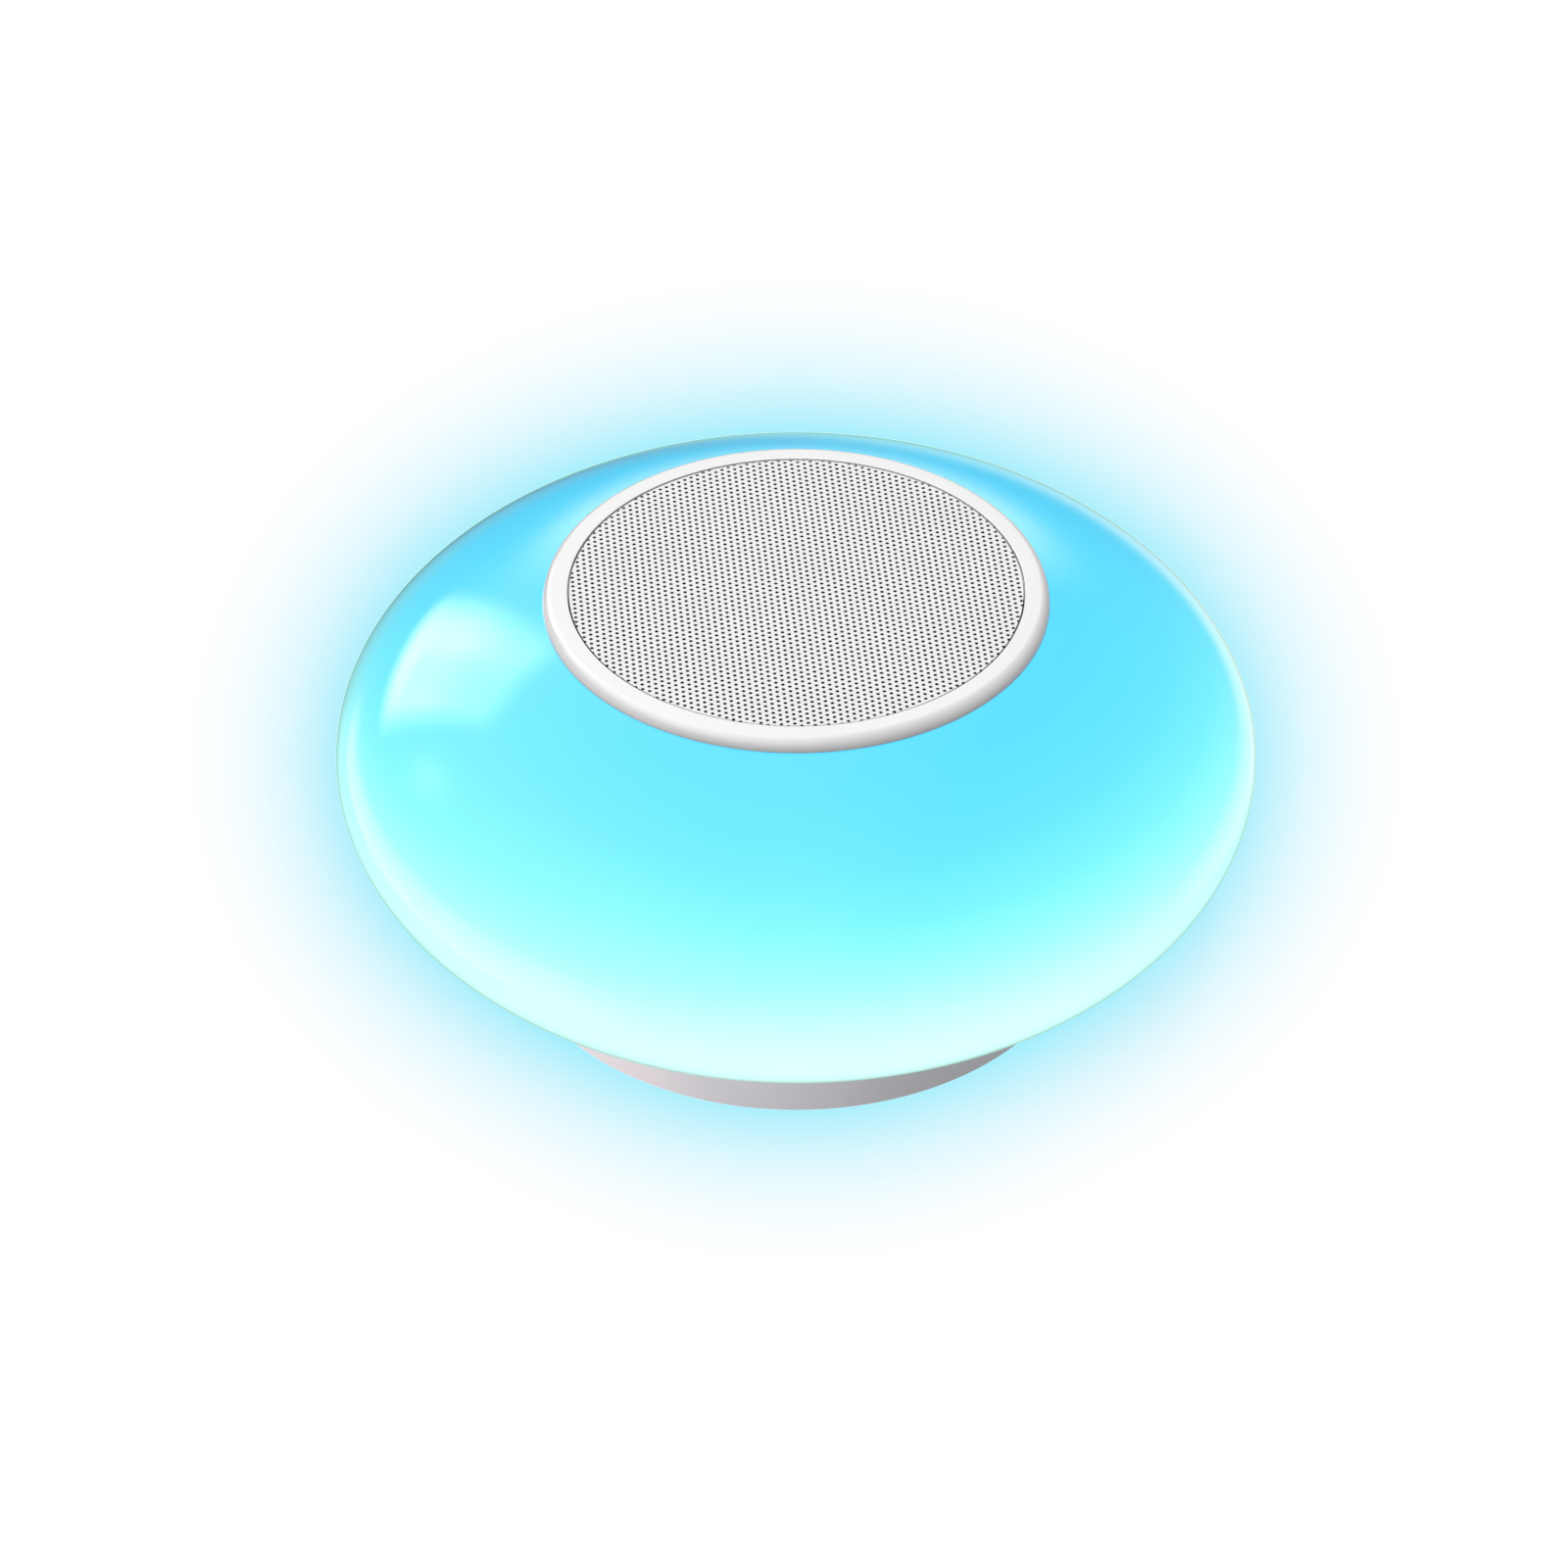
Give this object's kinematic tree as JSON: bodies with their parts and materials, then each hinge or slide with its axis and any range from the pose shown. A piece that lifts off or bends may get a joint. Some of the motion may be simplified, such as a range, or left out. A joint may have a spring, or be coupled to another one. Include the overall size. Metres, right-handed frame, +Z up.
{
  "type": "wireless speaker lamp",
  "caption": "Flattened glowing globe lamp with an upward-firing loudspeaker under a perforated round grille, on a low round base with push buttons and a charging socket.",
  "frame": {"origin": "centre of the resting face of the rubber foot ring", "axes": "+Z up along the axis of the round body; +Y towards the back, where the buttons and the charging socket are; -Y towards the viewer"},
  "size_m": [0.186, 0.1858, 0.0869],
  "materials": {
    "opal_shade": "glossy",
    "white_gloss": "glossy",
    "white_base": "satin",
    "button_white": "satin",
    "grille_white": "satin",
    "black_cloth": "matte",
    "grey_rubber": "matte",
    "clear_seal": "satin",
    "black_rubber": "matte",
    "screw_steel": "machined",
    "green_board": "satin",
    "blue_board": "satin",
    "white_board": "satin",
    "chip_black": "matte",
    "connector_ivory": "matte",
    "socket_steel": "bright",
    "lamp_white": "glossy",
    "clear_lens": "clear",
    "red_plastic": "glossy",
    "white_reflector": "matte",
    "white_inner": "matte",
    "fibre_wadding": "fibrous",
    "black_steel": "satin",
    "terminal_board": "satin",
    "zinc_steel": "zinc plated",
    "ferrite": "matte",
    "trim_card": "matte",
    "spider_cloth": "woven",
    "black_paper": "matte",
    "former_film": "satin",
    "copper_wire": "enamelled",
    "cell_wrap": "satin",
    "black_plastic": "satin",
    "contact_metal": "bright",
    "lead_red_black": "satin",
    "lead_grey": "satin"
  },
  "bodies": {
    "lamp_speaker_body": {"shade": "opal_shade", "upper_seal": "clear_seal", "lower_seal": "clear_seal", "bezel": "white_gloss", "grille": "grille_white", "grille_cloth": "black_cloth", "base_housing": "white_base", "bottom_cover": "white_base", "foot_ring": "grey_rubber", "cover_screws": "screw_steel", "main_board": "green_board", "wireless_module": "blue_board", "board_chips": "chip_black", "board_connectors": "connector_ivory", "charge_socket": "socket_steel", "key_switches": "chip_black", "status_lamp": "lamp_white", "status_lens": "clear_lens", "board_screws": "screw_steel", "led_board": "white_board", "led_emitters": "lamp_white", "led_board_screws": "screw_steel", "light_reflector": "white_reflector", "speaker_tub": "white_inner", "tub_screws": "screw_steel", "damping_ring": "fibre_wadding", "cable_grommet": "black_rubber", "speaker_baffle": "white_inner", "bezel_screws": "screw_steel", "driver_frame": "black_steel", "driver_gasket": "black_rubber", "driver_screws": "screw_steel", "driver_terminals": "terminal_board", "driver_yoke": "zinc_steel", "driver_magnet": "ferrite", "driver_top_plate": "zinc_steel", "driver_trim_ring": "trim_card", "surround": "black_rubber", "spider": "spider_cloth", "battery_cell": "cell_wrap", "battery_cradle": "black_plastic", "battery_contacts": "contact_metal", "battery_lead": "lead_red_black", "speaker_lead": "lead_red_black", "led_lead": "lead_grey"},
    "power_button_body": {"power_button": "button_white", "power_plunger": "red_plastic"},
    "light_button_body": {"light_button": "button_white", "light_plunger": "red_plastic"},
    "volume_down_body": {"volume_down_button": "button_white", "volume_down_plunger": "red_plastic"},
    "volume_up_body": {"volume_up_button": "button_white", "volume_up_plunger": "red_plastic"},
    "cone_body": {"cone": "black_paper", "dust_cap": "black_paper", "coil_former": "former_film", "coil_winding": "copper_wire"}
  },
  "joints": [
    {"name": "power_press", "type": "slide", "parent": "lamp_speaker_body", "child": "power_button_body", "axis": [0, -1, 0], "range_m": [0, 0.0006], "stiffness_N_per_m": 900, "springref_m": -0.0008},
    {"name": "light_press", "type": "slide", "parent": "lamp_speaker_body", "child": "light_button_body", "axis": [0, -1, 0], "range_m": [0, 0.0006], "stiffness_N_per_m": 900, "springref_m": -0.0008},
    {"name": "volume_down_press", "type": "slide", "parent": "lamp_speaker_body", "child": "volume_down_body", "axis": [0, -1, 0], "range_m": [0, 0.0006], "stiffness_N_per_m": 900, "springref_m": -0.0008},
    {"name": "volume_up_press", "type": "slide", "parent": "lamp_speaker_body", "child": "volume_up_body", "axis": [0, -1, 0], "range_m": [0, 0.0006], "stiffness_N_per_m": 900, "springref_m": -0.0008},
    {"name": "cone_stroke", "type": "slide", "parent": "lamp_speaker_body", "child": "cone_body", "axis": [0, 0, 1], "range_m": [-0.001, 0.001], "stiffness_N_per_m": 1800, "deforming": ["surround", "spider"]}
  ]
}
